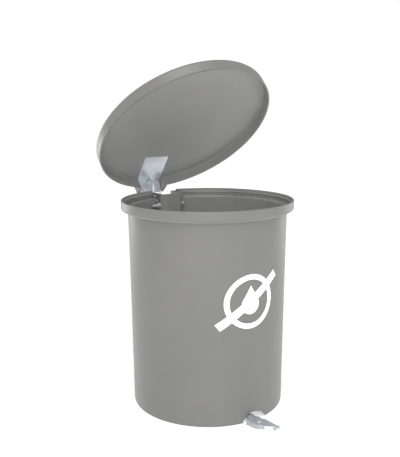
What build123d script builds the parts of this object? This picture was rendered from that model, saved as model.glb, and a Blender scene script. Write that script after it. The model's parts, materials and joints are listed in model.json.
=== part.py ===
"""Step-on oily waste can with a hinged lid, a push rod and a foot pedal.

Frame: millimetres, +Z up, origin at the centre of the base circle. The pedal is at the front (-Y), the lid
hinge is at the back (+Y) and X runs along the hinge. The lid stands open with the pedal pressed down.
"""

import os
from math import atan2, cos, hypot, radians, sin, tan

from build123d import *

# Can body
CAN_HEIGHT = 464.0
BASE_RADIUS = 171.1
SHOULDER_RADIUS = 177.1
SHOULDER_Z = 437.0
COLLAR_RADIUS = 192.4
COLLAR_FACE_Z = 446.0
COLLAR_LIP = 5.0
WALL = 5.0
LEDGE_Z = 449.0
FLOOR_TOP_Z = 57.0
FLOOR_UNDERSIDE_Z = 52.0
BASE_RING_HEIGHT = 10.0
CHANNEL_HALF_WIDTH = 26.0
CHANNEL_FRONT_Y = 142.0
CHANNEL_WALL = 4.0
CHANNEL_TOP_Z = 460.0
CHANNEL_CORNER = 4.0
CHANNEL_FACE_CORNER = 16.0
COLLAR_BLOCK_X = (-30.0, 46.0)
RELIEF_X = (-30.0, 40.0)
PEDAL_ARCH = ((-31.0, 0.0), (-21.0, 17.8), (2.0, 20.6), (20.0, 14.8), (35.0, 0.0))
BEAD_Z = (454.6, 459.0)
BEAD_DEPTH = 1.9
LEDGE_SLOPE_HEIGHT = 5.0
LEDGE_SLOPE_RUN = 2.0
RIM_ROUND = 1.8
BASE_EDGE_ROUND = 2.5

# Lid, in its own coordinates: x, distance towards the hinge, height above the skirt's open edge
OPEN_ANGLE = 41.6
LID_CENTRE = (0.0, 79.3, 604.9)
LID_RADIUS = 209.0
LID_DEPTH = 26.0
LID_WALL = 4.0
LID_CROWN = 30.0
LID_EDGE_ROUND = 8.0
LID_INNER_ROUND = 4.0
HOOD_HALF_WIDTH = 38.5
HOOD_REACH = 225.5
HOOD_BOTTOM = -5.0
HOOD_FRONT = 118.0
HOOD_WINDOW_HALF_WIDTH = 33.5
HOOD_WINDOW_TOP = 14.0
HOOD_ROUND = 7.0
HOOD_SPACE_TOP = 20.5
HOOD_ROOT = 25.0

# Lid bracket: a strap let into the lid, bent down to the hinge; points give its lower face
STRAP_HALF_WIDTH = 32.0
STRAP_LEFT_X = -34.5
STRAP_TAPER_START = 205.0
STRAP_THICKNESS = 3.0
STRAP_FRONT = (135.0, 39.0)
STRAP_BEND = (213.0, 21.5)
STRAP_FOOT = (226.0, -5.0)
STRAP_BEND_RADIUS = 5.0
LUG_X = -9.0
LUG_HALF_THICKNESS = 1.5
LUG_RADIUS = 7.5
RECESS_GAP = 0.8
PAD_THICKNESS = 4.2
ROD_HOOK = (196.0, 6.0)

# Hinge
PIVOT = (253.7, 419.2)
PIN_RADIUS = 4.0
PIN_WASHER_RADIUS = 8.5
SPACER_RADIUS = 7.0
CLIP_RADIUS = 7.5
RUNNING_FIT = 0.05
FRAME_OUTER_X = 26.0
FRAME_THICKNESS = 3.0
FRAME_BOLT_SPOTS = ((154.0, 432.0), (154.0, 384.0))
FRAME_BOLT_RADIUS = 4.0
FRAME_BOLT_END = 11.0
FRAME_Z = (370.0, 458.0)
FRAME_RIGHT_TOP_Z = 454.0
FRAME_RIVET_SPOTS = ((164.7, 443.0), (173.5, 452.6))
FRAME_RIVET_RADIUS = 1.8
FRAME_RIVET_HEAD_RADIUS = 3.4

# Push rod
ROD_RADIUS = 3.2
ROD_TOP_X = -1.0
ROD_FOOT_X = 8.0
ROD_BEND_RADIUS = 5.5
ROD_WASHER_RADIUS = 7.6
ROD_FOOT = (153.0, 44.0)
ROD_FOOT_HOLE_SHIFT = (-1.72, 1.39)
ROD_FOOT_HOLE_RADIUS = 6.0

# Pedal lever, in its own coordinates: x, distance rearward from its pivot, height above its pivot;
# in front of the pivot it steps down to a level part that carries the pedal
LEVER_PIVOT = (-115.0, 13.0)
LEVER_TILT = 6.4
LEVER_LEFT_X = -18.6
LEVER_RIGHT_X = 3.4
LEVER_SHEET = 2.5
LEVER_TOP = 6.0
LEVER_BOTTOM = -6.5
LEVER_PIN_RADIUS = 4.0
LEVER_BACK = 246.0
LEVER_FRONT_Y = -201.0
LEVER_STEP_FRONT_Y = -157.0
LEVER_STEP_BACK_Y = -132.0
LEVER_FRONT_TOP_Z = 6.5
LEVER_FRONT_BOTTOM_Z = 0.6
PEDAL_TOP_Z = 9.0
PEDAL_SHEET = 2.5
PEDAL_LEFT_X = -25.0
PEDAL_RIGHT_X = 7.0
PEDAL_TIP_RIGHT_X = 13.0
PEDAL_BACK_Y = -173.0
PEDAL_TIP_Y = -228.5
PEDAL_SKIRT_BACK_Y = -176.0
PEDAL_SKIRT_FLARE = 25.0
PEDAL_SKIRT_RISE_Y = -204.0
PEDAL_SKIRT_TIP_Z = 6.0
PEDAL_CURL_RADIUS = 5.0
PEDAL_CURL_X = 2.0
PEDAL_CORNER = 3.0
PEDAL_FRONT_ROUNDS = (40.0, 50.0, 16.0)
PEDAL_EDGE_ROUND = 1.5

# Lever pivot bracket under the floor
SADDLE_SHEET = 3.0
SADDLE_GAP = 1.0
SADDLE_HALF_LENGTH = 22.0
SADDLE_WING = 20.0

# Fasteners
EYE_RADIUS = 9.0
RIVET_RADIUS = 2.4
RIVET_HEAD_RADIUS = 5.0
RIVET_HEAD_HEIGHT = 1.8
STRAP_RIVET_SPOTS = ((-20.0, 14.0), (20.0, 14.0), (-20.0, 56.0), (20.0, 56.0))
PEDAL_RIVET_SPOTS = ((-7.6, -163.0), (-7.6, -194.0))
WASHER_THICKNESS = 1.6
WASHER_RADIUS = 8.0
HEX_RADIUS = 7.5
CLIP_THICKNESS = 1.6
HEAD_HEIGHT = 5.3
NUT_HEIGHT = 6.5
SADDLE_BOLT_RADIUS = 3.0
SADDLE_HEAD_RADIUS = 5.2
SADDLE_HEAD_HEIGHT = 3.8
SADDLE_NUT_HEIGHT = 5.0
SADDLE_NUT_RADIUS = 5.8
SEAL_THICKNESS = 1.2
SEAL_RADIUS = 7.0
SADDLE_BOLT_SPOTS = ((-34.0, -128.0), (-34.0, -102.0), (19.0, -128.0), (19.0, -102.0))
ROD_TOP_END_X = -20.0
ROD_FOOT_END_X = -6.0
TAB_RADIUS = 8.6

# Decal
DECAL_THICKNESS = 0.4
DECAL_RING_RADIUS = 58.0
DECAL_RING_WIDTH = 11.0
DECAL_DROP_RADIUS = 21.0
DECAL_BAR_LENGTH = 172.0
DECAL_BAR_WIDTH = 17.0
DECAL_BAR_ANGLE = 36.0
DECAL_DROP_FALL = 6.0
DECAL_DROP_TIP = 34.0
DECAL_X = -17.0
DECAL_Z = 270.0

open_angle = radians(OPEN_ANGLE)
lid_back = (0, cos(open_angle), -sin(open_angle))
lid_frame = Plane(LID_CENTRE, x_dir=(1, 0, 0), z_dir=(0, sin(open_angle), cos(open_angle)))
lever_tilt = radians(LEVER_TILT)
lever_frame = Plane((0, *LEVER_PIVOT), x_dir=(1, 0, 0), z_dir=(0, -sin(lever_tilt), cos(lever_tilt)))

strap_angle = atan2(STRAP_FRONT[1] - STRAP_BEND[1], STRAP_BEND[0] - STRAP_FRONT[0])
strap_rise = STRAP_THICKNESS / cos(strap_angle)
pad_rise = (STRAP_THICKNESS + PAD_THICKNESS) / cos(strap_angle)

os.makedirs("parts", exist_ok=True)


def save(part, name):
    """Label a finished piece and write it as parts/NAME.step."""
    part.label = name
    export_step(part, f"parts/{name}.step")


def lid_side(x=0.0):
    """Side plane of the lid: local X towards the hinge, local Y away from the open edge."""
    return Plane(lid_frame.from_local_coords((x, 0, 0)), x_dir=lid_back, z_dir=(1, 0, 0))


def highest_circle(section):
    """The full circle furthest from the open edge on a part of the lid."""
    circles = section.edges().filter_by(GeomType.CIRCLE).filter_by(lambda edge: edge.is_closed)
    return circles.sort_by(Axis(LID_CENTRE, lid_frame.z_dir))[-1]


def strap_height(distance):
    """Height of the strap's lower face at a distance towards the hinge."""
    slope = (STRAP_FRONT[1] - STRAP_BEND[1]) / (STRAP_BEND[0] - STRAP_FRONT[0])
    return STRAP_BEND[1] + slope * (STRAP_BEND[0] - distance)


def strap_level(height):
    """Plane parallel to the strap: local Y rearward from the strap's front end."""
    run, fall = STRAP_BEND[0] - STRAP_FRONT[0], STRAP_FRONT[1] - STRAP_BEND[1]
    up = lid_frame.y_dir * fall + lid_frame.z_dir * run
    corner = lid_frame.from_local_coords((0, *STRAP_FRONT))
    return Plane(corner, x_dir=(1, 0, 0), z_dir=up).offset(height)


def lever_point(distance, height):
    """(y, z) of a point given along the lever's rear part."""
    point = lever_frame.from_local_coords((0, distance, height))
    return (point.Y, point.Z)


def wall_radius(z):
    """Outer radius of the can's tapered wall at a height."""
    return BASE_RADIUS + (SHOULDER_RADIUS - BASE_RADIUS) * z / SHOULDER_Z


def disc_across(x_low, x_high, spots, radius, bore=0.0, sides=0):
    """Add discs, rings or prisms along X between two x values to the open part, one at each (y, z) spot."""
    with BuildSketch(Plane.YZ.offset(x_low)) as section:
        with Locations(*spots):
            if sides:
                RegularPolygon(radius, sides)
            else:
                Circle(radius)
            if bore:
                Circle(bore, mode=Mode.SUBTRACT)
    extrude(section.sketch, amount=x_high - x_low)


def rivet_holes(reach):
    """Cut the hinge frame's rivet holes from the open part: both spots at -X, the lower one at +X."""
    with BuildSketch(Plane.YZ.offset(-reach)) as left_holes:
        with Locations(*FRAME_RIVET_SPOTS):
            Circle(FRAME_RIVET_RADIUS)
    extrude(left_holes.sketch, amount=reach, mode=Mode.SUBTRACT)
    with BuildSketch(Plane.YZ) as right_hole:
        with Locations(FRAME_RIVET_SPOTS[0]):
            Circle(FRAME_RIVET_RADIUS)
    extrude(right_hole.sketch, amount=reach, mode=Mode.SUBTRACT)


# Space inside the can, with the rear channel's walls and the collar's end blocks left standing.
ledge_inner = wall_radius(LEDGE_Z) - WALL
collar_inner = COLLAR_RADIUS - COLLAR_LIP
with BuildPart() as cavity:
    with BuildSketch(Plane.XZ):
        with BuildLine():
            Polyline(
                (0, -1),
                (wall_radius(-1) - WALL, -1),
                (ledge_inner, LEDGE_Z - LEDGE_SLOPE_HEIGHT),
                (ledge_inner + LEDGE_SLOPE_RUN, LEDGE_Z),
                (collar_inner, LEDGE_Z),
                (collar_inner, BEAD_Z[0] - BEAD_DEPTH / 2),
                (collar_inner - BEAD_DEPTH, BEAD_Z[0]),
                (collar_inner, BEAD_Z[1]),
                (collar_inner, CAN_HEIGHT + 1),
                (0, CAN_HEIGHT + 1),
                close=True,
            )
        make_face()
    revolve(axis=Axis.Z)
    with BuildSketch(Plane.XY.offset(FLOOR_UNDERSIDE_Z)):
        with Locations((0, CHANNEL_FRONT_Y - CHANNEL_WALL + 50)):
            RectangleRounded(2 * (CHANNEL_HALF_WIDTH + CHANNEL_WALL), 100, CHANNEL_FACE_CORNER)
    extrude(amount=CHANNEL_TOP_Z - FLOOR_UNDERSIDE_Z, mode=Mode.SUBTRACT)
    with BuildSketch(Plane.XY.offset(LEDGE_Z - 1)):
        with Locations((COLLAR_BLOCK_X[0], 145)):
            Rectangle(COLLAR_BLOCK_X[1] - COLLAR_BLOCK_X[0], 60, align=(Align.MIN, Align.MIN))
        Circle(ledge_inner, mode=Mode.SUBTRACT)
    extrude(amount=CAN_HEIGHT - LEDGE_Z + 2, mode=Mode.SUBTRACT)

with BuildPart() as can_body:
    with BuildSketch(Plane.XZ):
        with BuildLine():
            Line((0, 0), (BASE_RADIUS, 0))
            Line((BASE_RADIUS, 0), (SHOULDER_RADIUS, SHOULDER_Z))
            Spline(
                (SHOULDER_RADIUS, SHOULDER_Z),
                (COLLAR_RADIUS, COLLAR_FACE_Z),
                tangents=((0.55, 1), (0.25, 1)),
            )
            Line((COLLAR_RADIUS, COLLAR_FACE_Z), (COLLAR_RADIUS, CAN_HEIGHT))
            Line((COLLAR_RADIUS, CAN_HEIGHT), (0, CAN_HEIGHT))
            Line((0, CAN_HEIGHT), (0, 0))
        make_face()
    revolve(axis=Axis.Z)
    fillet(can_body.edges().filter_by(GeomType.CIRCLE).group_by(Axis.Z)[0], BASE_EDGE_ROUND)
    add(cavity.part, mode=Mode.SUBTRACT)
    with BuildSketch(Plane.XY.offset(BASE_RING_HEIGHT)):
        with Locations((0, CHANNEL_FRONT_Y + 50)):
            RectangleRounded(2 * CHANNEL_HALF_WIDTH, 100, CHANNEL_CORNER)
        with Locations((0, CHANNEL_FRONT_Y + 60)):
            Rectangle(2 * CHANNEL_HALF_WIDTH, 100 - 2 * CHANNEL_CORNER)
    extrude(amount=CAN_HEIGHT + 2, mode=Mode.SUBTRACT)
    with BuildSketch(Plane.XY.offset(CHANNEL_TOP_Z)):
        with Locations((RELIEF_X[0], CHANNEL_FRONT_Y - 12)):
            Rectangle(RELIEF_X[1] - RELIEF_X[0], 80, align=(Align.MIN, Align.MIN))
    extrude(amount=CAN_HEIGHT - CHANNEL_TOP_Z + 1, mode=Mode.SUBTRACT)
    with BuildSketch(Plane.XZ.offset(BASE_RADIUS - 30)):
        with BuildLine():
            Spline(*PEDAL_ARCH, tangents=((0.25, 1), (1, -1)))
            Polyline(PEDAL_ARCH[-1], (PEDAL_ARCH[-1][0], -1), (PEDAL_ARCH[0][0], -1), PEDAL_ARCH[0])
        make_face()
    extrude(amount=60, mode=Mode.SUBTRACT)
    fillet(can_body.edges().filter_by(GeomType.CIRCLE).group_by(Axis.Z)[-1], RIM_ROUND)
    with BuildSketch(Plane.YZ.offset(-60)):
        with Locations(*FRAME_BOLT_SPOTS):
            Circle(FRAME_BOLT_RADIUS)
    extrude(amount=120, mode=Mode.SUBTRACT)
    rivet_holes(CHANNEL_HALF_WIDTH + CHANNEL_WALL + 1)
save(can_body.part, "can_body")

# Raised floor: a disc bonded inside the wall and round the rear channel.
with BuildPart() as raised_floor:
    with BuildSketch(Plane.XZ):
        with BuildLine():
            Polyline(
                (0, FLOOR_UNDERSIDE_Z),
                (wall_radius(FLOOR_UNDERSIDE_Z) - WALL, FLOOR_UNDERSIDE_Z),
                (wall_radius(FLOOR_TOP_Z) - WALL, FLOOR_TOP_Z),
                (0, FLOOR_TOP_Z),
                close=True,
            )
        make_face()
    revolve(axis=Axis.Z)
    with BuildSketch(Plane.XY.offset(FLOOR_UNDERSIDE_Z - 1)):
        with Locations((0, CHANNEL_FRONT_Y - CHANNEL_WALL + 50)):
            RectangleRounded(2 * (CHANNEL_HALF_WIDTH + CHANNEL_WALL), 100, CHANNEL_FACE_CORNER)
        with Locations(*SADDLE_BOLT_SPOTS):
            Circle(SADDLE_BOLT_RADIUS)
    extrude(amount=FLOOR_TOP_Z - FLOOR_UNDERSIDE_Z + 2, mode=Mode.SUBTRACT)
save(raised_floor.part, "raised_floor")

# Lid: a shallow domed pan. A hollow hood on its back covers the bracket's bend and runs forward over the
# strap as a raised pad; the strap lies in a recess under it.
inner_radius = LID_RADIUS - LID_WALL
inner_depth = LID_DEPTH - LID_WALL
recess_front = STRAP_FRONT[0] - RECESS_GAP
recess_back = STRAP_BEND[0] + 2 * STRAP_THICKNESS
with BuildPart() as lid_space:
    with BuildSketch(lid_side()):
        with BuildLine():
            TangentArc((0, inner_depth + LID_CROWN), (inner_radius, inner_depth), tangent=(1, 0))
            Polyline(
                (inner_radius, inner_depth),
                (inner_radius, HOOD_BOTTOM - 1),
                (0, HOOD_BOTTOM - 1),
                (0, inner_depth + LID_CROWN),
            )
        make_face()
    revolve(axis=Axis(LID_CENTRE, lid_frame.z_dir))
    fillet(highest_circle(lid_space), LID_INNER_ROUND)
    with BuildSketch(lid_side(-HOOD_HALF_WIDTH + LID_WALL)):
        Polygon(
            (LID_RADIUS - HOOD_ROOT, HOOD_BOTTOM - 1),
            (HOOD_REACH - LID_WALL, HOOD_BOTTOM - 1),
            (HOOD_REACH - LID_WALL, HOOD_SPACE_TOP - LID_WALL),
            (STRAP_BEND[0] + 2, HOOD_SPACE_TOP),
            (LID_RADIUS - HOOD_ROOT, HOOD_SPACE_TOP),
            align=None,
        )
    extrude(amount=2 * (HOOD_HALF_WIDTH - LID_WALL))
    with BuildSketch(lid_side(STRAP_LEFT_X - RECESS_GAP)):
        Polygon(
            (recess_front, HOOD_BOTTOM - 1),
            (recess_back, HOOD_BOTTOM - 1),
            (recess_back, strap_height(recess_back) + strap_rise),
            (recess_front, strap_height(recess_front) + strap_rise),
            align=None,
        )
    extrude(amount=STRAP_HALF_WIDTH - STRAP_LEFT_X + 2 * RECESS_GAP)

with BuildPart() as lid:
    with BuildSketch(lid_side()):
        with BuildLine():
            TangentArc((0, LID_DEPTH + LID_CROWN), (LID_RADIUS, LID_DEPTH), tangent=(1, 0))
            Polyline((LID_RADIUS, LID_DEPTH), (LID_RADIUS, 0), (0, 0), (0, LID_DEPTH + LID_CROWN))
        make_face()
    revolve(axis=Axis(LID_CENTRE, lid_frame.z_dir))
    fillet(highest_circle(lid), LID_EDGE_ROUND)
    with BuildSketch(lid_side(-HOOD_HALF_WIDTH)) as hood_outline:
        Polygon(
            (LID_RADIUS - HOOD_ROOT, HOOD_BOTTOM),
            (HOOD_REACH, HOOD_BOTTOM),
            (HOOD_REACH, strap_height(HOOD_REACH) + pad_rise),
            (HOOD_FRONT + HOOD_ROUND, strap_height(HOOD_FRONT + HOOD_ROUND) + pad_rise),
            (HOOD_FRONT, strap_height(HOOD_FRONT)),
            (LID_RADIUS - HOOD_ROOT, inner_depth),
            align=None,
        )
        fillet(hood_outline.vertices().group_by(Axis.X)[-1].sort_by(Axis.Y)[-1], HOOD_ROUND)
    extrude(amount=2 * HOOD_HALF_WIDTH)
    add(lid_space.part, mode=Mode.SUBTRACT)
    with BuildSketch(lid_side(-HOOD_WINDOW_HALF_WIDTH)):
        Polygon(
            (HOOD_REACH - 2 * LID_WALL, HOOD_BOTTOM - 1),
            (HOOD_REACH + 1, HOOD_BOTTOM - 1),
            (HOOD_REACH + 1, HOOD_WINDOW_TOP),
            (HOOD_REACH - 2 * LID_WALL, HOOD_WINDOW_TOP),
            align=None,
        )
    extrude(amount=2 * HOOD_WINDOW_HALF_WIDTH, mode=Mode.SUBTRACT)
    with BuildSketch(strap_level(0)):
        with Locations(*STRAP_RIVET_SPOTS):
            Circle(RIVET_RADIUS)
    extrude(amount=2 * pad_rise, mode=Mode.SUBTRACT)
save(lid.part, "lid")

# Lid bracket: the strap, cheeks that carry the hinge pin and a lug for the rod's hook.
pivot_in_lid = lid_frame.to_local_coords(Vector(0, *PIVOT))
pin_spot = (pivot_in_lid.Y, pivot_in_lid.Z)
with BuildPart() as lid_bracket:
    with BuildSketch(lid_side(STRAP_LEFT_X)):
        with BuildLine():
            FilletPolyline(STRAP_FRONT, STRAP_BEND, STRAP_FOOT, radius=STRAP_BEND_RADIUS)
            offset(amount=STRAP_THICKNESS, side=Side.LEFT)
        make_face()
    extrude(amount=STRAP_HALF_WIDTH - STRAP_LEFT_X)
    with BuildSketch(lid_frame.offset(STRAP_FOOT[1] - STRAP_THICKNESS)):
        Polygon(
            (STRAP_LEFT_X, STRAP_TAPER_START),
            (-STRAP_HALF_WIDTH, STRAP_BEND[0] - 1),
            (-STRAP_HALF_WIDTH, STRAP_FOOT[0] + 10),
            (STRAP_LEFT_X - 1, STRAP_FOOT[0] + 10),
            (STRAP_LEFT_X - 1, STRAP_TAPER_START),
            align=None,
        )
    extrude(amount=LID_DEPTH + LID_CROWN, mode=Mode.SUBTRACT)
    for cheek_x in (-STRAP_HALF_WIDTH, STRAP_HALF_WIDTH - STRAP_THICKNESS):
        with BuildSketch(lid_side(cheek_x)):
            Polygon(
                (STRAP_FOOT[0] - 5, STRAP_FOOT[1] + 12),
                (STRAP_FOOT[0] + 0.5, STRAP_FOOT[1] + 0.5),
                (pin_spot[0] - 6.5, pin_spot[1] - 6.0),
                (pin_spot[0] + 5.5, pin_spot[1] + 7.0),
                (STRAP_FOOT[0] + 2, STRAP_FOOT[1] + 14),
                align=None,
            )
            with Locations(pin_spot):
                Circle(EYE_RADIUS)
                Circle(PIN_RADIUS + RUNNING_FIT, mode=Mode.SUBTRACT)
        extrude(amount=STRAP_THICKNESS)
    with BuildSketch(lid_side(LUG_X - LUG_HALF_THICKNESS)):
        Polygon(
            (ROD_HOOK[0] - LUG_RADIUS, ROD_HOOK[1]),
            (ROD_HOOK[0] - LUG_RADIUS + 1, strap_height(ROD_HOOK[0] - LUG_RADIUS) + 1),
            (ROD_HOOK[0] + LUG_RADIUS + 3, strap_height(ROD_HOOK[0] + LUG_RADIUS + 3) + 1),
            (ROD_HOOK[0] + LUG_RADIUS, ROD_HOOK[1]),
            align=None,
        )
        with Locations(ROD_HOOK):
            Circle(LUG_RADIUS)
            Circle(ROD_RADIUS + RUNNING_FIT, mode=Mode.SUBTRACT)
    extrude(amount=2 * LUG_HALF_THICKNESS)
    with BuildSketch(strap_level(-1)):
        with Locations(*STRAP_RIVET_SPOTS):
            Circle(RIVET_RADIUS)
    extrude(amount=STRAP_THICKNESS + 2, mode=Mode.SUBTRACT)
save(lid_bracket.part, "lid_bracket")

# Rivets through the strap and the pad: flush under the strap, with a domed head on the lid.
with BuildPart() as bracket_rivets:
    with BuildSketch(strap_level(0)):
        with Locations(*STRAP_RIVET_SPOTS):
            Circle(RIVET_RADIUS)
    extrude(amount=PAD_THICKNESS + STRAP_THICKNESS)
    with BuildSketch(strap_level(PAD_THICKNESS + STRAP_THICKNESS)):
        with Locations(*STRAP_RIVET_SPOTS):
            Circle(RIVET_HEAD_RADIUS)
    extrude(amount=RIVET_HEAD_HEIGHT, taper=35)
save(bracket_rivets.part, "bracket_rivets")

# Hinge frame: a U of plate bolted across the channel, reaching back to the hinge pin. Its +X cheek is lower.
with BuildPart() as hinge_frame:
    for cheek_x, cheek_top in (
        (-FRAME_OUTER_X, FRAME_Z[1]),
        (FRAME_OUTER_X - FRAME_THICKNESS, FRAME_RIGHT_TOP_Z),
    ):
        with BuildSketch(Plane.YZ.offset(cheek_x)):
            Polygon(
                (CHANNEL_FRONT_Y, FRAME_Z[0]),
                (CHANNEL_FRONT_Y, cheek_top),
                (CHANNEL_FRONT_Y + 38, cheek_top),
                (CHANNEL_FRONT_Y + 54, PIVOT[1] - 6),
                (PIVOT[0] - 2, PIVOT[1] + 8.8),
                (PIVOT[0] + 3, PIVOT[1] - 8.5),
                (CHANNEL_FRONT_Y + 44, FRAME_Z[0] + 6),
                (CHANNEL_FRONT_Y + 34, FRAME_Z[0]),
                align=None,
            )
            with Locations(PIVOT):
                Circle(EYE_RADIUS)
        extrude(amount=FRAME_THICKNESS)
    with BuildSketch(Plane.XY.offset(FRAME_Z[0])):
        with Locations((0, CHANNEL_FRONT_Y + FRAME_THICKNESS / 2)):
            Rectangle(2 * FRAME_OUTER_X, FRAME_THICKNESS)
    extrude(amount=FRAME_Z[1] - FRAME_Z[0])
    fillet(hinge_frame.edges().filter_by(Axis.Z).group_by(Axis.Y)[0], CHANNEL_CORNER)
    with BuildSketch(Plane.YZ.offset(-60)):
        with Locations(*FRAME_BOLT_SPOTS, PIVOT):
            Circle(FRAME_BOLT_RADIUS)
    extrude(amount=120, mode=Mode.SUBTRACT)
    rivet_holes(FRAME_OUTER_X)
save(hinge_frame.part, "hinge_frame")

channel_outside = CHANNEL_HALF_WIDTH + CHANNEL_WALL
washer_outside = channel_outside + WASHER_THICKNESS
with BuildPart() as frame_bolts:
    shank_end = -washer_outside - NUT_HEIGHT - FRAME_BOLT_END
    disc_across(shank_end, washer_outside, FRAME_BOLT_SPOTS, FRAME_BOLT_RADIUS)
    disc_across(washer_outside, washer_outside + HEAD_HEIGHT, FRAME_BOLT_SPOTS, HEX_RADIUS, sides=6)
save(frame_bolts.part, "frame_bolts")

with BuildPart() as frame_nuts:
    nut_start = -washer_outside - NUT_HEIGHT
    disc_across(nut_start, -washer_outside, FRAME_BOLT_SPOTS, HEX_RADIUS, FRAME_BOLT_RADIUS, sides=6)
save(frame_nuts.part, "frame_nuts")

with BuildPart() as frame_washers:
    disc_across(-washer_outside, -channel_outside, FRAME_BOLT_SPOTS, WASHER_RADIUS, FRAME_BOLT_RADIUS)
    disc_across(channel_outside, washer_outside, FRAME_BOLT_SPOTS, WASHER_RADIUS, FRAME_BOLT_RADIUS)
save(frame_washers.part, "frame_washers")

with BuildPart() as frame_rivets:
    frame_inside = FRAME_OUTER_X - FRAME_THICKNESS
    for low, high, spots in (
        (-channel_outside, -frame_inside, FRAME_RIVET_SPOTS),
        (frame_inside, channel_outside, FRAME_RIVET_SPOTS[:1]),
    ):
        disc_across(low, high, spots, FRAME_RIVET_RADIUS)
    for way, spots in ((-1, FRAME_RIVET_SPOTS), (1, FRAME_RIVET_SPOTS[:1])):
        with BuildSketch(Plane.YZ.offset(way * channel_outside)) as head_outline:
            with Locations(*spots):
                Circle(FRAME_RIVET_HEAD_RADIUS)
        extrude(head_outline.sketch, amount=way * RIVET_HEAD_HEIGHT, taper=35)
save(frame_rivets.part, "frame_rivets")

# Hinge pin with its spacer, washers and clip, all carried by the hinge frame.
pin_seat = STRAP_HALF_WIDTH + WASHER_THICKNESS + 0.2
with BuildPart() as hinge_pin:
    disc_across(-pin_seat - CLIP_THICKNESS - 2.1, pin_seat, [PIVOT], PIN_RADIUS)
    disc_across(pin_seat, pin_seat + 4.2, [PIVOT], SPACER_RADIUS)
    fillet(hinge_pin.edges().filter_by(GeomType.CIRCLE).group_by(Axis.X)[-1], 1.5)
save(hinge_pin.part, "hinge_pin")

with BuildPart() as hinge_spacer:
    spacer_end = FRAME_OUTER_X - FRAME_THICKNESS
    disc_across(-spacer_end, spacer_end, [PIVOT], SPACER_RADIUS, PIN_RADIUS)
save(hinge_spacer.part, "hinge_spacer")

with BuildPart() as hinge_washers:
    cheek_inside = STRAP_HALF_WIDTH - STRAP_THICKNESS - 0.1
    for low, high in ((FRAME_OUTER_X, cheek_inside), (pin_seat - WASHER_THICKNESS, pin_seat)):
        disc_across(low, high, [PIVOT], PIN_WASHER_RADIUS, PIN_RADIUS)
        disc_across(-high, -low, [PIVOT], PIN_WASHER_RADIUS, PIN_RADIUS)
save(hinge_washers.part, "hinge_washers")


def spring_clip(x_low, x_high, spot, inner_radius, outer_radius, mouth_plane):
    """Add a flat retaining ring, open at one side, to the open part."""
    disc_across(x_low, x_high, [spot], outer_radius, inner_radius)
    with BuildSketch(mouth_plane) as mouth:
        with Locations((0, outer_radius)):
            Rectangle(1.3 * inner_radius, 2 * outer_radius)
    extrude(mouth.sketch, amount=x_high - x_low, mode=Mode.SUBTRACT)


def facing_x(x, spot):
    """Plane across X at a (y, z) spot: local X is +Y, local Y is +Z."""
    return Plane((x, *spot), x_dir=(0, 1, 0), z_dir=(1, 0, 0))


with BuildPart() as hinge_pin_clip:
    clip_x = -pin_seat - CLIP_THICKNESS
    spring_clip(clip_x, -pin_seat, PIVOT, PIN_RADIUS, CLIP_RADIUS, facing_x(clip_x, PIVOT))
save(hinge_pin_clip.part, "hinge_pin_clip")

# Push rod: a round bar with both ends bent to -X, one in the bracket's lug and one in the lever's tab.
hook_world = lid_frame.from_local_coords((0, *ROD_HOOK))
rod_rise = hook_world.Z - ROD_FOOT[1]
rod_run = hook_world.Y - ROD_FOOT[0]
rod_length = hypot(rod_rise, rod_run)
rod_plane = Plane((0, *ROD_FOOT), x_dir=(1, 0, 0), z_dir=(0, -rod_rise, rod_run))
with BuildPart() as push_rod:
    with BuildLine(rod_plane) as rod_path:
        FilletPolyline(
            (ROD_TOP_END_X, rod_length),
            (ROD_TOP_X, rod_length),
            (ROD_FOOT_X, 0),
            (ROD_FOOT_END_X, 0),
            radius=ROD_BEND_RADIUS,
        )
    with BuildSketch(Plane(rod_path.line @ 0, z_dir=rod_path.line % 0)):
        Circle(ROD_RADIUS)
    sweep()
save(push_rod.part, "push_rod")

hook_spot = (hook_world.Y, hook_world.Z)
with BuildPart() as rod_washers:
    disc_across(LUG_X - 3.4, LUG_X - 2.2, [hook_spot], ROD_WASHER_RADIUS, ROD_RADIUS)
    disc_across(-1.0, 0.5, [ROD_FOOT], ROD_WASHER_RADIUS, ROD_RADIUS)
save(rod_washers.part, "rod_washers")

with BuildPart() as rod_clips:
    for clip_x, spot in ((LUG_X - 4.9, hook_spot), (-2.5, ROD_FOOT)):
        spring_clip(clip_x, clip_x + 1.5, spot, ROD_RADIUS, 2 * ROD_RADIUS, facing_x(clip_x, spot))
save(rod_clips.part, "rod_clips")

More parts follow.
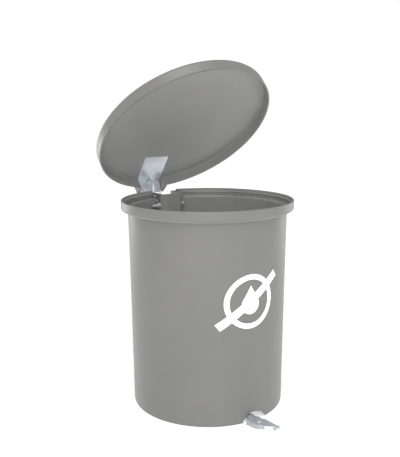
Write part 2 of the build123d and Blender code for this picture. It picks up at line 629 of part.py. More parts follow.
# Pedal lever: an inverted channel on its pivot under the floor, with a tab at the back for the rod's foot.
tab_centre = lever_frame.to_local_coords(
    Vector(0, ROD_FOOT[0] + ROD_FOOT_HOLE_SHIFT[0], ROD_FOOT[1] + ROD_FOOT_HOLE_SHIFT[1])
)
tab_spot = (tab_centre.Y, tab_centre.Z)
lever_width = LEVER_RIGHT_X - LEVER_LEFT_X
lever_middle_x = (LEVER_RIGHT_X + LEVER_LEFT_X) / 2
lever_top_line = (
    (LEVER_FRONT_Y, LEVER_FRONT_TOP_Z),
    (LEVER_STEP_FRONT_Y, LEVER_FRONT_TOP_Z),
    (LEVER_STEP_BACK_Y, lever_point(0, LEVER_TOP)[1] - 1),
    lever_point(LEVER_BACK, LEVER_TOP),
)
with BuildPart() as pedal_lever:
    with BuildSketch(Plane.YZ.offset(LEVER_LEFT_X)):
        Polygon(
            *lever_top_line,
            lever_point(LEVER_BACK, LEVER_BOTTOM),
            lever_point(-8, LEVER_BOTTOM),
            (LEVER_STEP_FRONT_Y + 4, LEVER_FRONT_BOTTOM_Z),
            (LEVER_FRONT_Y, LEVER_FRONT_BOTTOM_Z),
            align=None,
        )
    extrude(amount=lever_width)
    with BuildSketch(Plane.YZ.offset(LEVER_LEFT_X + LEVER_SHEET)):
        Polygon(
            *[(y, z - LEVER_SHEET) for y, z in lever_top_line],
            lever_point(LEVER_BACK + 5, LEVER_TOP - LEVER_SHEET),
            lever_point(LEVER_BACK + 5, LEVER_BOTTOM - 5),
            (LEVER_STEP_FRONT_Y, -5),
            (LEVER_FRONT_Y - 1, -5),
            (LEVER_FRONT_Y - 1, LEVER_FRONT_TOP_Z - LEVER_SHEET),
            align=None,
        )
    extrude(amount=lever_width - 2 * LEVER_SHEET, mode=Mode.SUBTRACT)
    with BuildSketch(Plane.YZ.offset(LEVER_RIGHT_X - LEVER_SHEET)):
        Polygon(
            lever_point(LEVER_BACK - 8, LEVER_TOP),
            lever_point(LEVER_BACK - 8, LEVER_BOTTOM),
            lever_point(tab_spot[0] - 2, tab_spot[1] - TAB_RADIUS + 0.3),
            lever_point(tab_spot[0], tab_spot[1] + TAB_RADIUS),
            lever_point(tab_spot[0] - 6, tab_spot[1] + TAB_RADIUS - 2.2),
            align=None,
        )
        with Locations(lever_point(*tab_spot)):
            Circle(TAB_RADIUS)
            Circle(ROD_FOOT_HOLE_RADIUS, mode=Mode.SUBTRACT)
    extrude(amount=LEVER_SHEET)
    with BuildSketch(Plane.YZ.offset(-40)):
        with Locations(LEVER_PIVOT):
            Circle(LEVER_PIN_RADIUS + RUNNING_FIT)
    extrude(amount=80, mode=Mode.SUBTRACT)
    with BuildSketch(Plane.XY):
        with Locations(*PEDAL_RIVET_SPOTS):
            Circle(RIVET_RADIUS)
    extrude(amount=PEDAL_TOP_Z, mode=Mode.SUBTRACT)
save(pedal_lever.part, "pedal_lever")

# Foot pedal: a plate on the lever's level part, rounded off at the left, with a flared skirt turned down
# round it and a curl at the tip.
pedal_outline = (
    (PEDAL_LEFT_X, PEDAL_BACK_Y),
    (PEDAL_LEFT_X + 4, PEDAL_TIP_Y + 27),
    (PEDAL_LEFT_X + 13, PEDAL_TIP_Y + 11),
    (0, PEDAL_TIP_Y),
    (PEDAL_TIP_RIGHT_X, PEDAL_TIP_Y),
    (PEDAL_TIP_RIGHT_X - 2, PEDAL_TIP_Y + 34),
    (PEDAL_RIGHT_X, PEDAL_TIP_Y + 42),
    (PEDAL_RIGHT_X, PEDAL_BACK_Y),
)
with BuildPart() as foot_pedal:
    with BuildSketch(Plane.XY.offset(PEDAL_TOP_Z)) as pedal_plan:
        Polygon(*pedal_outline, align=None)
        sharp_corners = pedal_plan.vertices()
        for corner, radius in zip(pedal_outline[1:4], PEDAL_FRONT_ROUNDS):
            nearest = sharp_corners.sort_by_distance(Vector(*corner, PEDAL_TOP_Z))[0]
            fillet(nearest, radius)
            sharp_corners.remove(nearest)
        fillet(sharp_corners, PEDAL_CORNER)
    extrude(amount=LEVER_FRONT_BOTTOM_Z - PEDAL_TOP_Z, taper=-PEDAL_SKIRT_FLARE)
    fillet(foot_pedal.faces().sort_by(Axis.Z)[-1].edges(), PEDAL_EDGE_ROUND)
    with BuildSketch(Plane.XY.offset(PEDAL_TOP_Z - PEDAL_SHEET)):
        add(pedal_plan.sketch)
        offset(amount=PEDAL_SHEET * (tan(radians(PEDAL_SKIRT_FLARE)) - 1), mode=Mode.REPLACE)
    extrude(amount=-PEDAL_TOP_Z, taper=-PEDAL_SKIRT_FLARE, mode=Mode.SUBTRACT)
    with BuildSketch(Plane.XY.offset(-1)):
        with Locations((0, PEDAL_SKIRT_BACK_Y)):
            Rectangle(120, 30, align=(Align.CENTER, Align.MIN))
    extrude(amount=PEDAL_TOP_Z - PEDAL_SHEET + 1, mode=Mode.SUBTRACT)
    with BuildSketch(Plane.YZ.offset(PEDAL_LEFT_X - 10)):
        Polygon(
            (PEDAL_SKIRT_RISE_Y, -1),
            (PEDAL_SKIRT_RISE_Y, LEVER_FRONT_BOTTOM_Z),
            (PEDAL_TIP_Y - 8, PEDAL_SKIRT_TIP_Z + 1.5),
            (PEDAL_TIP_Y - 8, -1),
            align=None,
        )
    extrude(amount=PEDAL_TIP_RIGHT_X - PEDAL_LEFT_X + 20, mode=Mode.SUBTRACT)
    with BuildSketch(Plane.XY.offset(PEDAL_TOP_Z)):
        with Locations((lever_middle_x, (PEDAL_BACK_Y + LEVER_STEP_FRONT_Y) / 2 - 4)):
            Rectangle(lever_width, LEVER_STEP_FRONT_Y - PEDAL_BACK_Y + 8)
    extrude(amount=-PEDAL_SHEET)
    with BuildSketch(Plane.YZ.offset(PEDAL_CURL_X)):
        with Locations((PEDAL_TIP_Y - 4.2, PEDAL_TOP_Z - PEDAL_CURL_RADIUS + 1.2)):
            Circle(PEDAL_CURL_RADIUS)
            Circle(PEDAL_CURL_RADIUS - PEDAL_SHEET, mode=Mode.SUBTRACT)
    extrude(amount=PEDAL_TIP_RIGHT_X - PEDAL_CURL_X)
    with BuildSketch(Plane.XY.offset(PEDAL_TOP_Z - PEDAL_SHEET - 1)):
        with Locations(*PEDAL_RIVET_SPOTS):
            Circle(RIVET_RADIUS)
    extrude(amount=PEDAL_SHEET + 2, mode=Mode.SUBTRACT)
save(foot_pedal.part, "foot_pedal")

with BuildPart() as pedal_rivets:
    with BuildSketch(Plane.XY.offset(LEVER_FRONT_TOP_Z - LEVER_SHEET)):
        with Locations(*PEDAL_RIVET_SPOTS):
            Circle(RIVET_RADIUS)
    extrude(amount=LEVER_SHEET + PEDAL_SHEET)
    with BuildSketch(Plane.XY.offset(PEDAL_TOP_Z)):
        with Locations(*PEDAL_RIVET_SPOTS):
            Circle(RIVET_HEAD_RADIUS - 1)
    extrude(amount=RIVET_HEAD_HEIGHT, taper=35)
    with BuildSketch(Plane.XY.offset(LEVER_FRONT_TOP_Z - LEVER_SHEET)):
        with Locations(*PEDAL_RIVET_SPOTS):
            Circle(RIVET_HEAD_RADIUS - 1)
    extrude(amount=-RIVET_HEAD_HEIGHT, taper=35)
save(pedal_rivets.part, "pedal_rivets")

# Saddle bracket under the floor, with the lever's pin between its cheeks.
saddle_left_x = LEVER_LEFT_X - SADDLE_GAP - SADDLE_SHEET
saddle_right_x = LEVER_RIGHT_X + SADDLE_GAP + SADDLE_SHEET
saddle_top = FLOOR_UNDERSIDE_Z
with BuildPart() as pivot_saddle:
    with BuildSketch(Plane.XY.offset(saddle_top - SADDLE_SHEET)):
        with Locations((lever_middle_x, LEVER_PIVOT[0])):
            RectangleRounded(saddle_right_x - saddle_left_x + 2 * SADDLE_WING, 2 * SADDLE_HALF_LENGTH, 4)
    extrude(amount=SADDLE_SHEET)
    for cheek_x in (saddle_left_x, saddle_right_x - SADDLE_SHEET):
        with BuildSketch(Plane.YZ.offset(cheek_x)):
            Polygon(
                (LEVER_PIVOT[0] - 16, saddle_top - 1),
                (LEVER_PIVOT[0] + 16, saddle_top - 1),
                (LEVER_PIVOT[0] + 8.5, LEVER_PIVOT[1] - 1),
                (LEVER_PIVOT[0] - 8.5, LEVER_PIVOT[1] - 1),
                align=None,
            )
            with Locations(LEVER_PIVOT):
                Circle(EYE_RADIUS)
                Circle(LEVER_PIN_RADIUS, mode=Mode.SUBTRACT)
        extrude(amount=SADDLE_SHEET)
    with BuildSketch(Plane.XY.offset(saddle_top - SADDLE_SHEET - 1)):
        with Locations(*SADDLE_BOLT_SPOTS):
            Circle(SADDLE_BOLT_RADIUS)
    extrude(amount=SADDLE_SHEET + 2, mode=Mode.SUBTRACT)
save(pivot_saddle.part, "pivot_saddle")

with BuildPart() as lever_pin:
    disc_across(saddle_left_x - CLIP_THICKNESS - 3, saddle_right_x, [LEVER_PIVOT], LEVER_PIN_RADIUS)
    disc_across(saddle_right_x, saddle_right_x + 3, [LEVER_PIVOT], SPACER_RADIUS - 0.5)
save(lever_pin.part, "lever_pin")

with BuildPart() as lever_pin_clip:
    clip_x = saddle_left_x - CLIP_THICKNESS
    mouth = facing_x(clip_x, LEVER_PIVOT)
    spring_clip(clip_x, saddle_left_x, LEVER_PIVOT, LEVER_PIN_RADIUS, CLIP_RADIUS, mouth)
save(lever_pin_clip.part, "lever_pin_clip")


def disc_up(z_low, z_high, spots, radius, bore=0.0, sides=0):
    """Add discs, rings or prisms along Z between two heights to the open part, one at each (x, y) spot."""
    with BuildSketch(Plane.XY.offset(z_low)) as section:
        with Locations(*spots):
            if sides:
                RegularPolygon(radius, sides)
            else:
                Circle(radius)
            if bore:
                Circle(bore, mode=Mode.SUBTRACT)
    extrude(section.sketch, amount=z_high - z_low)


saddle_bottom = saddle_top - SADDLE_SHEET
head_seat = FLOOR_TOP_Z + SEAL_THICKNESS
with BuildPart() as saddle_bolts:
    disc_up(saddle_bottom - SADDLE_NUT_HEIGHT - 1.2, head_seat, SADDLE_BOLT_SPOTS, SADDLE_BOLT_RADIUS)
    disc_up(head_seat, head_seat + SADDLE_HEAD_HEIGHT, SADDLE_BOLT_SPOTS, SADDLE_HEAD_RADIUS)
    fillet(saddle_bolts.edges().filter_by(GeomType.CIRCLE).group_by(Axis.Z)[-1], 2.2)
save(saddle_bolts.part, "saddle_bolts")

with BuildPart() as saddle_nuts:
    nut_bottom = saddle_bottom - SADDLE_NUT_HEIGHT
    disc_up(nut_bottom, saddle_bottom, SADDLE_BOLT_SPOTS, SADDLE_NUT_RADIUS, SADDLE_BOLT_RADIUS, sides=6)
save(saddle_nuts.part, "saddle_nuts")

with BuildPart() as saddle_seals:
    disc_up(FLOOR_TOP_Z, head_seat, SADDLE_BOLT_SPOTS, SEAL_RADIUS, SADDLE_BOLT_RADIUS)
save(saddle_seals.part, "saddle_seals")

# Decal: a thin film on the tapered wall, showing a drop inside a ring with a bar across it.
with BuildPart() as decal:
    with BuildSketch(Plane.XZ):
        with BuildLine():
            low_z = DECAL_Z - DECAL_BAR_LENGTH / 2
            high_z = DECAL_Z + DECAL_BAR_LENGTH / 2
            Polyline(
                (wall_radius(low_z), low_z),
                (wall_radius(high_z), high_z),
                (wall_radius(high_z) + DECAL_THICKNESS, high_z),
                (wall_radius(low_z) + DECAL_THICKNESS, low_z),
                close=True,
            )
        make_face()
    revolve(axis=Axis.Z)
    with BuildSketch(Plane((DECAL_X, 0, DECAL_Z), x_dir=(1, 0, 0), z_dir=(0, -1, 0))):
        Circle(DECAL_RING_RADIUS)
        Circle(DECAL_RING_RADIUS - DECAL_RING_WIDTH, mode=Mode.SUBTRACT)
        with Locations((0, -DECAL_DROP_FALL)):
            Circle(DECAL_DROP_RADIUS)
        Polygon(
            (-0.93 * DECAL_DROP_RADIUS, 0.37 * DECAL_DROP_RADIUS - DECAL_DROP_FALL),
            (0.93 * DECAL_DROP_RADIUS, 0.37 * DECAL_DROP_RADIUS - DECAL_DROP_FALL),
            (0, DECAL_DROP_TIP),
            align=None,
        )
        Rectangle(DECAL_BAR_LENGTH, DECAL_BAR_WIDTH, rotation=DECAL_BAR_ANGLE)
    extrude(amount=SHOULDER_RADIUS + 20, mode=Mode.INTERSECT)
save(decal.part, "decal")
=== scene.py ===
"""Step-on oily waste can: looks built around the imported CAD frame, in metres."""

import json
import math

import bmesh
import bpy
from mathutils import Matrix, Vector


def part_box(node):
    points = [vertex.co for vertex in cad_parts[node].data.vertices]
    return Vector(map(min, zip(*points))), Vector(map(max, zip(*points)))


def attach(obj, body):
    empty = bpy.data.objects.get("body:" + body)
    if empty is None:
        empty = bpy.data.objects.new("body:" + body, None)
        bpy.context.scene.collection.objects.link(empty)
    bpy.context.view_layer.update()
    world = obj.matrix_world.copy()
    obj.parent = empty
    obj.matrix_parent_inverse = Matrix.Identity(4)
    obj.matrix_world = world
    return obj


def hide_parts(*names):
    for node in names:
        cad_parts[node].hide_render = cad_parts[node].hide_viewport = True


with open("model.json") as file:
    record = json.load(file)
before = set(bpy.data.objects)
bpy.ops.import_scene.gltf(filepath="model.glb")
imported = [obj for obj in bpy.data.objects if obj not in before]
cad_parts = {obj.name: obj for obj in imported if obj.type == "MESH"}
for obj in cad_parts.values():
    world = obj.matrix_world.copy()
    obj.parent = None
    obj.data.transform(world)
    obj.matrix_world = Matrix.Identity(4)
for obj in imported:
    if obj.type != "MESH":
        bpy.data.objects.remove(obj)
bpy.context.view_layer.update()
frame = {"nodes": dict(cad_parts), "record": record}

CAMERA_PLACE = (-0.8600, -1.1728, 0.6671)
CAMERA_AZIMUTH = 36.25
CAMERA_YAW = -0.65
CAMERA_PITCH = 10.58
CAMERA_ROLL = -0.24
CAMERA_LENS = 51.68
CAMERA_SENSOR = 36.0
CAMERA_CLIP = (0.01, 50)

WHITE = (1, 1, 1, 1)
WORLD_LIGHT = 0.35
WORLD_SEEN = 1.05
FLOOR_COLOUR = (0.97, 0.97, 0.97, 1)
FLOOR_ROUGHNESS = 0.95
FLOOR_GLOW = (0.41, 0.7)
FLOOR_GLOW_REACH = (0.9, 3.0)
FLOOR_HALF = 30.0

# Degrees round the can from the camera, positive to the camera's left, then the distance,
# the height above the floor, (width, height) and watts
SOFT_BOXES = {
    "front": (0, 2.8, 0.95, (1.6, 1.6), 7.0),
    "front_high": (0, 2.4, 2.0, (1.6, 1.2), 28.0),
    "left_back": (130, 2.2, 0.8, (0.6, 1.8), 11.0),
    "right_back": (-130, 2.2, 0.8, (0.6, 1.8), 6.5),
    "right_front": (-45, 2.5, 0.9, (0.9, 1.6), 3.5),
    "right_side": (-90, 2.2, 0.8, (0.6, 1.8), 0.5),
    "overhead": (0, 0.9, 2.6, (1.4, 1.4), 18.0),
}
SOFT_BOX_TARGET = (0, 0, 0.4)
UNDER_FLOOR_PLACE = (0.07, -0.06)
UNDER_FLOOR_GAP = 0.004
UNDER_FLOOR_SIZE = (0.1, 0.12)
UNDER_FLOOR_POWER = 0.04
UNDER_FLOOR_SPREAD = 70

# ShaderNodeMix keeps the sockets of all its data types: these are the factor's and the two colours'
MIX_INPUTS = (0, 6, 7)
MIX_RESULT = 2
BEVEL_SAMPLES = 6
FACING_EDGE = -0.01

# Inner faces look towards these points, and are painted paler by these gains: painted light that lifts the
# shade inside the can and under the lid
CAN_CENTRE = (0.0, 0.0, 0.3)
LID_CENTRE = (0.0, 0.0793, 0.6049)
CAN_INSIDE_PAINTED_LIGHT_GAIN = 1.55
LID_INSIDE_PAINTED_LIGHT_GAIN = 1.46

GREY_DARK = (0.2, 0.199, 0.196)
GREY_PALE = (0.224, 0.222, 0.219)
GREY_STREAK = (0.262, 0.26, 0.256)
GREY_GRAIN = (0.168, 0.167, 0.164)
GREY_SCUFF = (0.3, 0.298, 0.292)
ZINC_METALLIC = 0.6
ZINC_SPANGLE = 0.8
ZINC_BRIGHT = 1.08
ZINC_DULL = 0.6
FILM_COLOURS = ((0.96, 0.96, 0.96), (0.93, 0.93, 0.925))
FILM_GLOW = 0.36
RUBBER_COLOURS = ((0.02, 0.02, 0.02), (0.045, 0.045, 0.043))

THREAD_PITCH = 0.00125
THREAD_DEPTH = 0.0006
THREAD_END_CUT = 1.5 * THREAD_DEPTH
THREAD_LENGTH = 0.02
THREAD_STEPS_PER_TURN = 8
SHANK_RADIUS = 0.00398
NUT_BORE = 0.004
HEX_FLAT = math.cos(math.pi / 6)
HEX_CONE = math.tan(math.pi / 6)
HEX_TRIM_SHARES = (1.0, 0.75, 0.5, 0.25, 0.0)
TURNED_SEGMENTS = 48
SHARP_ANGLE = 28


def make_camera():
    """The camera stands front-left of the can and a little above its rim."""
    azimuth, yaw = math.radians(CAMERA_AZIMUTH), math.radians(CAMERA_YAW)
    pitch, roll = math.radians(CAMERA_PITCH), math.radians(CAMERA_ROLL)
    ahead = Vector((math.sin(azimuth), math.cos(azimuth), 0))
    across = Vector((math.cos(azimuth), -math.sin(azimuth), 0))
    level_ahead = ahead * math.cos(yaw) + across * math.sin(yaw)
    level_across = across * math.cos(yaw) - ahead * math.sin(yaw)
    up = Vector((0, 0, 1))
    view = level_ahead * math.cos(pitch) - up * math.sin(pitch)
    top = up * math.cos(pitch) + level_ahead * math.sin(pitch)
    right = level_across * math.cos(roll) + top * math.sin(roll)
    top = top * math.cos(roll) - level_across * math.sin(roll)
    data = bpy.data.cameras.new("camera")
    data.lens = CAMERA_LENS
    data.sensor_width = CAMERA_SENSOR
    data.clip_start, data.clip_end = CAMERA_CLIP
    camera = bpy.data.objects.new("camera", data)
    bpy.context.collection.objects.link(camera)
    turn = Matrix((right, top, -view)).transposed().to_4x4()
    camera.matrix_world = Matrix.Translation(CAMERA_PLACE) @ turn
    bpy.context.scene.camera = camera


def make_stage():
    """A wide pale floor that glows a little, under a dim sky that the camera sees as white."""
    mesh = bpy.data.meshes.new("floor")
    corners = [(-1, -1), (1, -1), (1, 1), (-1, 1)]
    vertices = [(x * FLOOR_HALF, y * FLOOR_HALF, 0) for x, y in corners]
    mesh.from_pydata(vertices, [], [(0, 1, 2, 3)])
    floor = bpy.data.objects.new("floor", mesh)
    bpy.context.collection.objects.link(floor)
    paint = Nodes("floor_white")
    paint.set("Base Color", FLOOR_COLOUR)
    paint.set("Roughness", FLOOR_ROUGHNESS)
    paint.set("Emission Color", WHITE)
    reach = paint.add("ShaderNodeVectorMath", {0: paint.place}, operation="LENGTH")
    glow = paint.span(reach.outputs["Value"], *FLOOR_GLOW_REACH, *FLOOR_GLOW)
    paint.set("Emission Strength", glow)
    floor.data.materials.append(paint.material)
    world = bpy.data.worlds.new("studio")
    world.use_nodes = True
    tree = world.node_tree
    dim = tree.nodes["Background"]
    seen = tree.nodes.new("ShaderNodeBackground")
    for background, strength in ((dim, WORLD_LIGHT), (seen, WORLD_SEEN)):
        background.inputs["Color"].default_value = WHITE
        background.inputs["Strength"].default_value = strength
    choice = tree.nodes.new("ShaderNodeMixShader")
    by_camera = tree.nodes.new("ShaderNodeLightPath").outputs["Is Camera Ray"]
    for socket, source in zip(choice.inputs, (by_camera, dim.outputs[0], seen.outputs[0])):
        tree.links.new(source, socket)
    tree.links.new(choice.outputs[0], tree.nodes["World Output"].inputs["Surface"])
    bpy.context.scene.world = world
    bpy.context.scene.view_settings.view_transform = "Standard"


def area_light(name, place, target, size, power, spread=180):
    """A soft box that lights the can and stays out of the picture."""
    data = bpy.data.lights.new(name, "AREA")
    data.shape, data.size, data.size_y, data.energy = "RECTANGLE", size[0], size[1], power
    light = bpy.data.objects.new(name, data)
    bpy.context.collection.objects.link(light)
    light.location = place
    light.rotation_euler = (Vector(target) - Vector(place)).to_track_quat("-Z", "Y").to_euler()
    data.spread = math.radians(spread)
    light.visible_camera = False


def make_lights():
    """Soft boxes round the can, and a faint lamp that lights the floor seen through the pedal arch."""
    for name, (turn, distance, height, size, power) in SOFT_BOXES.items():
        angle = math.radians(CAMERA_AZIMUTH + turn)
        place = (-math.sin(angle) * distance, -math.cos(angle) * distance, height)
        area_light(name, place, SOFT_BOX_TARGET, size, power)
    lamp = (*UNDER_FLOOR_PLACE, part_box("raised_floor")[0][2] - UNDER_FLOOR_GAP)
    below = (*UNDER_FLOOR_PLACE, 0)
    area_light("under_floor", lamp, below, UNDER_FLOOR_SIZE, UNDER_FLOOR_POWER, UNDER_FLOOR_SPREAD)


class Nodes:
    """Short calls for building one material's node tree, where a value may be a number or a socket."""

    def __init__(self, name, metallic=0.0):
        self.material = bpy.data.materials.new(name)
        self.material.use_nodes = True
        self.tree = self.material.node_tree
        self.shader = self.tree.nodes["Principled BSDF"]
        self.set("Metallic", metallic)
        coordinates = self.tree.nodes.new("ShaderNodeTexCoord").outputs
        self.place, self.normal = coordinates["Object"], coordinates["Normal"]

    def feed(self, socket, value):
        if hasattr(value, "is_output"):
            self.tree.links.new(value, socket)
        else:
            socket.default_value = value

    def set(self, key, value):
        """Feed one of the shader's own sockets."""
        self.feed(self.shader.inputs[key], value)

    def add(self, kind, inputs, **settings):
        node = self.tree.nodes.new(kind)
        for key, value in settings.items():
            setattr(node, key, value)
        for key, value in inputs.items():
            self.feed(node.inputs[key], value)
        return node

    def stretched(self, scale):
        """The place on the object, scaled along each axis."""
        return self.add("ShaderNodeMapping", {"Vector": self.place, "Scale": scale}).outputs["Vector"]

    def noise(self, scale, detail=3.0, rough=0.5, vector=None):
        inputs = {"Vector": vector or self.place, "Scale": scale, "Detail": detail, "Roughness": rough}
        return self.add("ShaderNodeTexNoise", inputs).outputs["Fac"]

    def span(self, value, low, high, to_low=0.0, to_high=1.0):
        """Map low to high onto to_low to to_high, and clamp outside that."""
        limits = {"From Min": low, "From Max": high, "To Min": to_low, "To Max": to_high}
        return self.add("ShaderNodeMapRange", {"Value": value, **limits}).outputs["Result"]

    def blend(self, factor, first, second, mode="MIX"):
        """Lay the second colour over the first by a factor."""
        colours = [value if hasattr(value, "is_output") else (*value, 1) for value in (first, second)]
        inputs = dict(zip(MIX_INPUTS, (factor, *colours)))
        node = self.add("ShaderNodeMix", inputs, data_type="RGBA", blend_type=mode)
        return node.outputs[MIX_RESULT]

    def sum(self, first, second, share=1.0):
        """The first value plus a share of the second."""
        inputs = {0: second, 1: share, 2: first}
        return self.add("ShaderNodeMath", inputs, operation="MULTIPLY_ADD").outputs[0]

    def facing(self, centre):
        """1 on faces that look towards a point of the object, 0 on faces that look away from it."""
        away = self.add("ShaderNodeVectorMath", {0: self.place, 1: centre}, operation="SUBTRACT")
        inputs = {0: away.outputs[0], 1: self.normal}
        across = self.add("ShaderNodeVectorMath", inputs, operation="DOT_PRODUCT")
        return self.span(across.outputs["Value"], 0.0, FACING_EDGE)

    def bump(self, height, strength, distance, edge):
        """Surface relief, with sharp edges softened over the length edge."""
        soft = self.add("ShaderNodeBevel", {"Radius": edge}, samples=BEVEL_SAMPLES)
        inputs = {"Normal": soft.outputs["Normal"], "Height": height}
        inputs.update({"Strength": strength, "Distance": distance})
        self.set("Normal", self.add("ShaderNodeBump", inputs).outputs["Normal"])


def fibreglass(name, centre, inside_painted_light_gain):
    """Moulded grey fibreglass: soft mottling, faint upright streaks, small scuffs and an orange-peel skin.

    Faces that look towards centre are the inner side, which is painted paler by the given gain: painted
    light that lifts the shade there.
    """
    n = Nodes(name)
    cloud = n.noise(scale=5.0, detail=4.0, rough=0.55)
    streak = n.noise(scale=9.0, vector=n.stretched((1.0, 1.0, 0.07)))
    grain = n.noise(scale=420.0, rough=0.6)
    scuff = n.noise(scale=60.0, detail=6.0, rough=0.75, vector=n.stretched((1.0, 1.0, 0.35)))
    base = n.blend(n.span(cloud, low=0.3, high=0.7), GREY_DARK, GREY_PALE)
    base = n.blend(n.span(streak, low=0.42, high=0.75, to_high=0.35), base, GREY_STREAK)
    base = n.blend(n.span(grain, low=0.35, high=0.7, to_high=0.12), base, GREY_GRAIN)
    base = n.blend(n.span(scuff, low=0.68, high=0.74, to_high=0.25), base, GREY_SCUFF)
    # Painted light: faces on the inner side are multiplied paler, standing in for light that reaches
    # inside the can and under the lid
    base = n.blend(n.facing(centre), base, (inside_painted_light_gain,) * 3, "MULTIPLY")
    n.set("Base Color", base)
    uneven = n.sum(cloud, grain, share=0.4)
    n.set("Roughness", n.span(uneven, low=0.4, high=0.95, to_low=0.3, to_high=0.42))
    peel = n.noise(scale=260.0)
    waves = n.noise(scale=14.0, detail=2.0, rough=0.4, vector=n.stretched((1, 1, 0.25)))
    n.bump(n.sum(peel, waves, share=2.0), strength=0.35, distance=0.0006, edge=0.0015)
    n.set("Specular IOR Level", 0.45)
    return n.material


def shade(colour, gain):
    return tuple(min(1.0, gain * channel) for channel in colour)


def zinc(name, colour, roughness, grain_stretch=(1, 1, 1)):
    """Bluish zinc plate with soft spangle, fine drawing lines and a few dull spots."""
    n = Nodes(name, ZINC_METALLIC)
    spangle = n.add("ShaderNodeTexVoronoi", {"Vector": n.place, "Scale": 260.0}).outputs["Color"]
    tone = n.noise(scale=70.0, detail=4.0, rough=0.6)
    dull = n.noise(scale=150.0, detail=5.0, rough=0.7)
    base = n.blend(n.span(tone, low=0.3, high=0.7), colour, shade(colour, ZINC_BRIGHT))
    base = n.blend(n.span(spangle, low=0.0, high=1.0, to_high=0.25), base, shade(colour, ZINC_SPANGLE))
    base = n.blend(n.span(dull, low=0.62, high=0.75, to_high=0.4), base, shade(colour, ZINC_DULL))
    n.set("Base Color", base)
    uneven = n.sum(tone, dull, share=0.5)
    limits = {"to_low": roughness - 0.06, "to_high": roughness + 0.14}
    n.set("Roughness", n.span(uneven, low=0.5, high=1.0, **limits))
    lines = n.noise(scale=900.0, detail=2.0, vector=n.stretched(grain_stretch))
    n.bump(n.sum(lines, tone, share=1.5), strength=0.25, distance=0.0003, edge=0.0008)
    return n.material


def film():
    """Matt white vinyl with a faint texture, which glows a little so that it stays white."""
    n = Nodes("decal_white")
    tone = n.noise(scale=40.0, detail=4.0, rough=0.6)
    n.set("Base Color", n.blend(n.span(tone, low=0.35, high=0.75), *FILM_COLOURS))
    n.set("Emission Color", WHITE)
    n.set("Emission Strength", FILM_GLOW)
    n.set("Roughness", n.span(tone, low=0.3, high=0.7, to_low=0.45, to_high=0.6))
    weave = n.noise(scale=500.0, detail=2.0)
    n.bump(weave, strength=0.15, distance=0.0002, edge=0.0002)
    return n.material


def rubber():
    """Dull black rubber with a fine grain."""
    n = Nodes("rubber_black")
    tone = n.noise(scale=200.0, detail=4.0, rough=0.6)
    n.set("Base Color", n.blend(n.span(tone, low=0.3, high=0.7), *RUBBER_COLOURS))
    n.set("Roughness", n.span(tone, low=0.3, high=0.7, to_low=0.6, to_high=0.8))
    n.bump(n.noise(scale=900.0, rough=0.6), strength=0.3, distance=0.0003, edge=0.0004)
    return n.material


def turned(mesh, centre, stations, closed_ring=False):
    """Rings round an axis along X; a station is x with a radius, or with a function of x and the angle."""
    rings = []
    for x, radius in stations:
        ring = []
        for step in range(TURNED_SEGMENTS):
            angle = 2 * math.pi * step / TURNED_SEGMENTS
            reach = radius(x, angle) if callable(radius) else radius
            place = (x, centre[0] + reach * math.cos(angle), centre[1] + reach * math.sin(angle))
            ring.append(mesh.verts.new(place))
        rings.append(ring)
    pairs = list(zip(rings, rings[1:]))
    if closed_ring:
        pairs.append((rings[-1], rings[0]))
    for first, second in pairs:
        for step in range(TURNED_SEGMENTS):
            ahead = (step + 1) % TURNED_SEGMENTS
            mesh.faces.new((first[step], first[ahead], second[ahead], second[step]))
    if not closed_ring:
        mesh.faces.new(rings[0])
        mesh.faces.new(rings[-1])


def hexagon(corner, face):
    """Radius of a hexagon whose corners are trimmed by a cone at the end face."""

    def radius(x, angle):
        side = corner * HEX_FLAT / math.cos(angle % (math.pi / 3) - math.pi / 6)
        return min(side, corner * HEX_FLAT + abs(x - face) / HEX_CONE)

    return radius


def hexagon_end(corner, face, outward):
    """Stations of a trimmed hexagon's end, going outward along X."""
    trim = corner * (1 - HEX_FLAT) * HEX_CONE
    return [(face - outward * trim * share, hexagon(corner, face)) for share in HEX_TRIM_SHARES]


def thread(end):
    """Radius of a screw thread that is cut down towards the rod's end by a 45 degree cone."""

    def radius(x, angle):
        phase = (x / THREAD_PITCH - angle / (2 * math.pi)) % 1.0
        crest = SHANK_RADIUS - THREAD_DEPTH * abs(2 * phase - 1)
        return min(crest, SHANK_RADIUS - THREAD_END_CUT + (x - end))

    return radius


def finish_piece(name, mesh, node):
    """Turn a built mesh into the piece that stands for a fastener node of the can."""
    bmesh.ops.recalc_face_normals(mesh, faces=mesh.faces)
    data = bpy.data.meshes.new(name)
    mesh.to_mesh(data)
    mesh.free()
    for face in data.polygons:
        face.use_smooth = True
    data.set_sharp_from_angle(angle=math.radians(SHARP_ANGLE))
    data.materials.append(MATERIALS["zinc_fastener"])
    piece = bpy.data.objects.new(name, data)
    bpy.context.collection.objects.link(piece)
    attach(piece, "can")
    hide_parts(node)


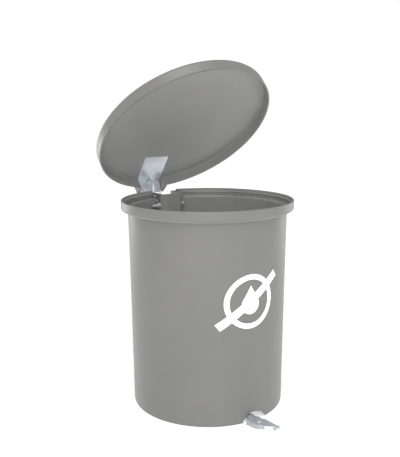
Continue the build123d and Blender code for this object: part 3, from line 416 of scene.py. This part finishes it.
def make_frame_bolts():
    """Through bolts of the hinge frame, with a thread and a trimmed hexagon head, and their nuts."""
    low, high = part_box("frame_bolts")
    nut_low, nut_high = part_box("frame_nuts")
    corner = (high[1] - low[1]) / 2
    head_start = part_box("frame_washers")[1][0]
    middle_y = (low[1] + high[1]) / 2
    count = round(THREAD_LENGTH / THREAD_PITCH * THREAD_STEPS_PER_TURN)
    bolts, nuts = bmesh.new(), bmesh.new()
    for centre_z in (low[2] + corner * HEX_FLAT, high[2] - corner * HEX_FLAT):
        centre = (middle_y, centre_z)
        stations = [
            (low[0] + THREAD_LENGTH * step / count, thread(low[0])) for step in range(count + 1)
        ]
        plain_start = low[0] + THREAD_LENGTH + THREAD_PITCH
        stations += [(plain_start, SHANK_RADIUS), (head_start, SHANK_RADIUS)]
        stations += [(head_start, hexagon(corner, high[0]))] + hexagon_end(corner, high[0], 1)
        turned(bolts, centre, stations)
        sides = hexagon_end(corner, nut_low[0], -1)[::-1] + hexagon_end(corner, nut_high[0], 1)
        bore = [(nut_high[0], NUT_BORE), (nut_low[0], NUT_BORE)]
        turned(nuts, centre, sides + bore, closed_ring=True)
    finish_piece("frame_bolts_threaded", bolts, "frame_bolts")
    finish_piece("frame_nuts_trimmed", nuts, "frame_nuts")


make_camera()
make_stage()
make_lights()
MATERIALS = {
    "fibreglass": fibreglass("fibreglass_grey", CAN_CENTRE, CAN_INSIDE_PAINTED_LIGHT_GAIN),
    "zinc_plate": zinc("zinc_plate", (0.74, 0.78, 0.83), roughness=0.3),
    "zinc_fastener": zinc("zinc_fastener", (0.66, 0.68, 0.72), roughness=0.34),
    "zinc_rod": zinc("zinc_rod", (0.76, 0.79, 0.83), roughness=0.26, grain_stretch=(1, 1, 0.05)),
    "decal_film": film(),
    "rubber_seal": rubber(),
}
slots = {entry["node"]: entry["material_slot"] for entry in frame["record"]["subparts"]}
for node, thing in frame["nodes"].items():
    thing.data.materials.clear()
    thing.data.materials.append(MATERIALS[slots[node]])
make_frame_bolts()
# The lid gets its own copy of the fibreglass, with its own painted light on the inner side
frame["nodes"]["lid"].data.materials[0] = fibreglass("fibreglass_lid", LID_CENTRE, LID_INSIDE_PAINTED_LIGHT_GAIN)
